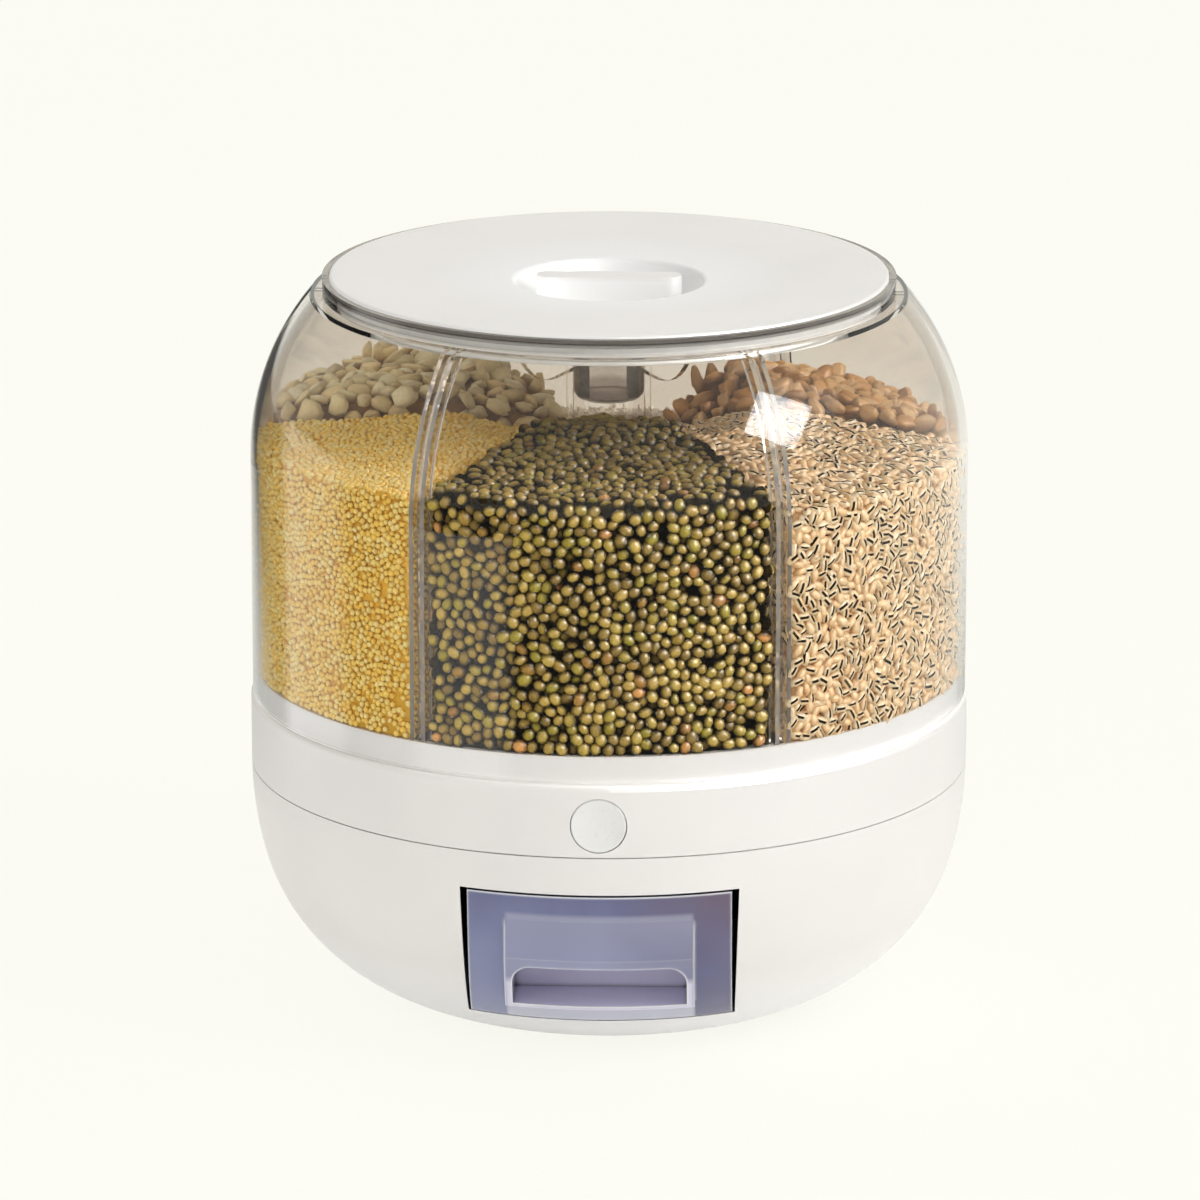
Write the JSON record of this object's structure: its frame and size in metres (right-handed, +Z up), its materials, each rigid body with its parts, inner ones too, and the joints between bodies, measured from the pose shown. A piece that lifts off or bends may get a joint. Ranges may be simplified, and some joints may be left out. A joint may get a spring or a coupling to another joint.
{
  "type": "rotating grain dispenser",
  "caption": "Clear domed barrel of compartments that turns on a white base, with a push button outlet and a pull-out measuring cup.",
  "frame": {"origin": "on the table under the middle of the base", "axes": "+Z up along the barrel's axis, -Y to the front with the drawer and button"},
  "size_m": [0.23, 0.23, 0.236],
  "materials": {
    "white_plastic": "satin moulded",
    "button_plastic": "satin moulded",
    "inner_plastic": "moulded",
    "clear_plastic": "polished clear",
    "insert_plastic": "polished clear",
    "tinted_plastic": "polished tinted",
    "silicone": "soft matt",
    "foot_rubber": "matt",
    "glide_plastic": "smooth",
    "steel": "zinc plated",
    "spring_steel": "drawn wire",
    "mung_bean": "dry seeds",
    "millet": "dry grain",
    "rolled_oat": "dry grain",
    "broad_bean": "dry beans",
    "cashew": "dry nuts",
    "rice": "dry grain"
  },
  "bodies": {
    "base": {"base_bowl": "white_plastic", "drawer_frame": "inner_plastic", "top_deck": "white_plastic", "rubber_feet": "foot_rubber", "base_screws": "steel", "gate_cover": "inner_plastic", "cover_screws": "steel", "outlet_seal": "silicone", "gate_springs": "spring_steel", "spindle": "steel", "pivot_washer": "steel", "pivot_screw": "steel", "glide_ring": "glide_plastic"},
    "barrel": {"clear_barrel": "clear_plastic", "divider": "insert_plastic", "hub_plug": "insert_plastic", "floor_tray": "white_plastic", "grain_broad_bean": "broad_bean", "grain_cashew": "cashew", "grain_millet": "millet", "grain_mung_bean": "mung_bean", "grain_rice": "rice", "grain_rolled_oat": "rolled_oat"},
    "lid": {"lid": "white_plastic", "lid_seal": "silicone"},
    "button": {"push_button": "button_plastic", "outlet_gate": "inner_plastic", "button_clip": "steel"},
    "cup_drawer": {"measuring_cup": "tinted_plastic"}
  },
  "joints": [
    {"name": "barrel_turn", "type": "hinge", "parent": "base", "child": "barrel", "pos_m": [0, 0, 0.1], "axis": [0, 0, 1], "continuous": true},
    {"name": "lid_lift", "type": "slide", "parent": "barrel", "child": "lid", "axis": [0, 0, 1], "range_m": [0, 0.06]},
    {"name": "button_push", "type": "slide", "parent": "base", "child": "button", "axis": [0, 1, 0], "range_m": [0, 0.01], "stiffness_N_per_m": 400, "springref_m": -0.006, "deforming": ["gate_springs"]},
    {"name": "cup_slide", "type": "slide", "parent": "base", "child": "cup_drawer", "axis": [0, -1, 0], "range_m": [0, 0.1]}
  ]
}
